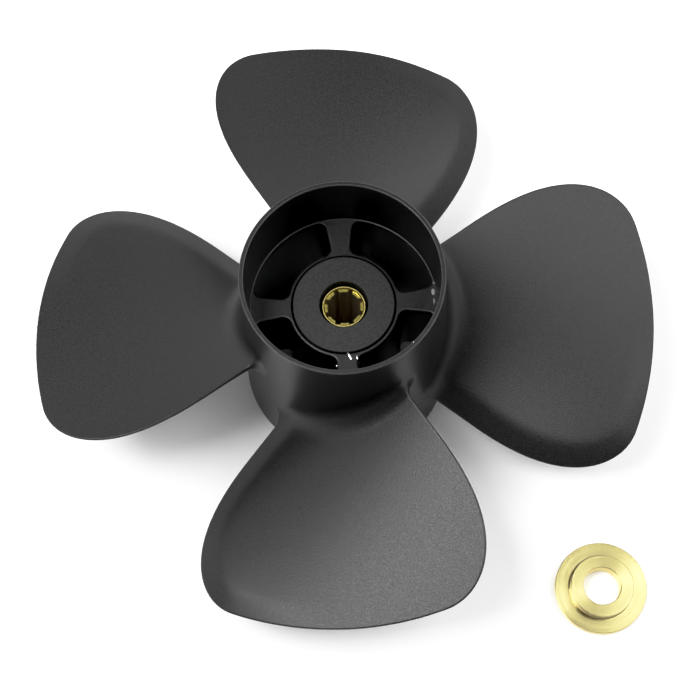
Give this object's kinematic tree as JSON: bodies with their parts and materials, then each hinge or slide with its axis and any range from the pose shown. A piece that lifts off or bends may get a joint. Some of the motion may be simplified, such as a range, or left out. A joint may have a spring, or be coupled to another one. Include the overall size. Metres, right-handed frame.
{
  "type": "outboard motor propeller",
  "caption": "Right-hand outboard propeller with a through-hub exhaust barrel, cushioned splined hub and a loose thrust washer.",
  "frame": {"origin": "on the shaft's axis, in the barrel's front face that the propeller stands on", "axes": "+Z along the shaft, aft, out of the exhaust end; +Y through the middle of one blade; +X to its right seen from aft, with +Z towards the viewer"},
  "size_m": [0.235, 0.235, 0.0925],
  "materials": {
    "painted_casting": "satin black paint over die-cast aluminium",
    "rubber": "matte moulded rubber",
    "sleeve_brass": "machined, slightly dulled",
    "washer_brass": "satin, turned on the lathe"
  },
  "bodies": {
    "root": {"propeller_casting": "painted_casting", "rubber_bushing": "rubber", "splined_sleeve": "sleeve_brass", "thrust_washer": "washer_brass"}
  },
  "joints": []
}
